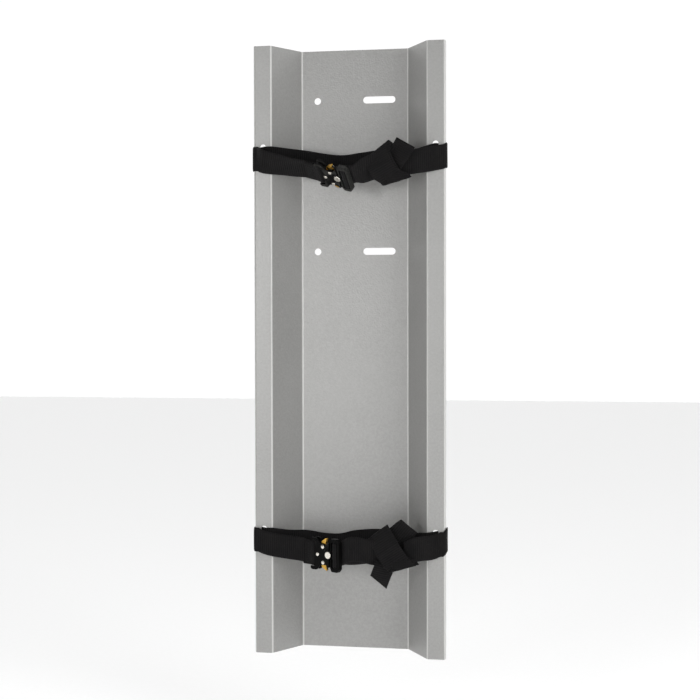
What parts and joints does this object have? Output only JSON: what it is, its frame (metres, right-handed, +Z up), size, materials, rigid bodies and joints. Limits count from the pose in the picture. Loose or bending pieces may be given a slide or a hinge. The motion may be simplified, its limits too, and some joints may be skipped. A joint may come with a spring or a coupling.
{
  "type": "gas cylinder wall holder",
  "caption": "Wall-mounted folded metal channel that holds one upright gas cylinder with two slack webbing straps, each closed by a double-latch metal buckle.",
  "frame": {"origin": "middle of the rear face of the channel, the face that lies on the wall", "axes": "+Y into the wall, so -Y is the front; +Z up along the channel; +X to the right seen from the front"},
  "size_m": [0.2088, 0.0759, 0.65],
  "materials": {
    "grey_hammertone_paint": "fine hammered grey stove enamel, satin",
    "black_webbing": "matt woven polyester webbing",
    "black_metal": "black satin anodised casting",
    "gold_metal": "polished gold-coloured spring latch",
    "silver_metal": "polished rivet head",
    "plain_steel": "plain ground steel"
  },
  "bodies": {
    "holder": {"wall_channel": "grey_hammertone_paint", "upper_buckle_front_plate": "black_metal", "upper_buckle_rear_plate": "black_metal", "upper_webbing_bar": "plain_steel", "upper_rear_rivet": "silver_metal", "upper_top_pivot_rivet": "silver_metal", "upper_bottom_pivot_rivet": "silver_metal", "upper_top_latch_spring": "plain_steel", "upper_bottom_latch_spring": "plain_steel", "upper_strap": "black_webbing", "upper_strap_front_run": "black_webbing", "upper_strap_knot": "black_webbing", "upper_strap_tail": "black_webbing", "lower_buckle_front_plate": "black_metal", "lower_buckle_rear_plate": "black_metal", "lower_webbing_bar": "plain_steel", "lower_rear_rivet": "silver_metal", "lower_top_pivot_rivet": "silver_metal", "lower_bottom_pivot_rivet": "silver_metal", "lower_top_latch_spring": "plain_steel", "lower_bottom_latch_spring": "plain_steel", "lower_strap": "black_webbing", "lower_strap_front_run": "black_webbing", "lower_strap_knot": "black_webbing", "lower_strap_tail": "black_webbing"},
    "upper_male_half": {"upper_tongue": "plain_steel", "upper_adjuster_frame": "black_metal", "upper_disc_rivet": "silver_metal", "upper_strap_adjuster_fold": "black_webbing"},
    "upper_top_latch_body": {"upper_top_latch": "gold_metal"},
    "upper_bottom_latch_body": {"upper_bottom_latch": "gold_metal"},
    "lower_male_half": {"lower_tongue": "plain_steel", "lower_adjuster_frame": "black_metal", "lower_disc_rivet": "silver_metal", "lower_strap_adjuster_fold": "black_webbing"},
    "lower_top_latch_body": {"lower_top_latch": "gold_metal"},
    "lower_bottom_latch_body": {"lower_bottom_latch": "gold_metal"}
  },
  "joints": [
    {"name": "upper_tongue_release", "type": "slide", "parent": "holder", "child": "upper_male_half", "axis": [0.9279, -0.2837, -0.2419], "range_m": [0, 0.022], "deforming": ["upper_strap_front_run"]},
    {"name": "upper_top_latch_pivot", "type": "hinge", "parent": "holder", "child": "upper_top_latch_body", "pos_m": [-0.01428, -0.06218, 0.18959], "axis": [0.3623, 0.533, 0.7646], "range_deg": [-10, 4], "stiffness_Nm_per_rad": 0.02, "deforming": ["upper_top_latch_spring"]},
    {"name": "upper_bottom_latch_pivot", "type": "hinge", "parent": "holder", "child": "upper_bottom_latch_body", "pos_m": [-0.0128, -0.04878, 0.17955], "axis": [-0.3623, -0.533, -0.7646], "range_deg": [-10, 4], "stiffness_Nm_per_rad": 0.02, "deforming": ["upper_bottom_latch_spring"]},
    {"name": "lower_tongue_release", "type": "slide", "parent": "holder", "child": "lower_male_half", "axis": [0.8572, -0.515, 0], "range_m": [0, 0.022], "deforming": ["lower_strap_front_run"]},
    {"name": "lower_top_latch_pivot", "type": "hinge", "parent": "holder", "child": "lower_top_latch_body", "pos_m": [-0.02316, -0.05527, -0.2061], "axis": [0.515, 0.857, 0.0175], "range_deg": [-10, 4], "stiffness_Nm_per_rad": 0.02, "deforming": ["lower_top_latch_spring"]},
    {"name": "lower_bottom_latch_pivot", "type": "hinge", "parent": "holder", "child": "lower_bottom_latch_body", "pos_m": [-0.02301, -0.05502, -0.2229], "axis": [-0.515, -0.857, -0.0175], "range_deg": [-10, 4], "stiffness_Nm_per_rad": 0.02, "deforming": ["lower_bottom_latch_spring"]}
  ]
}
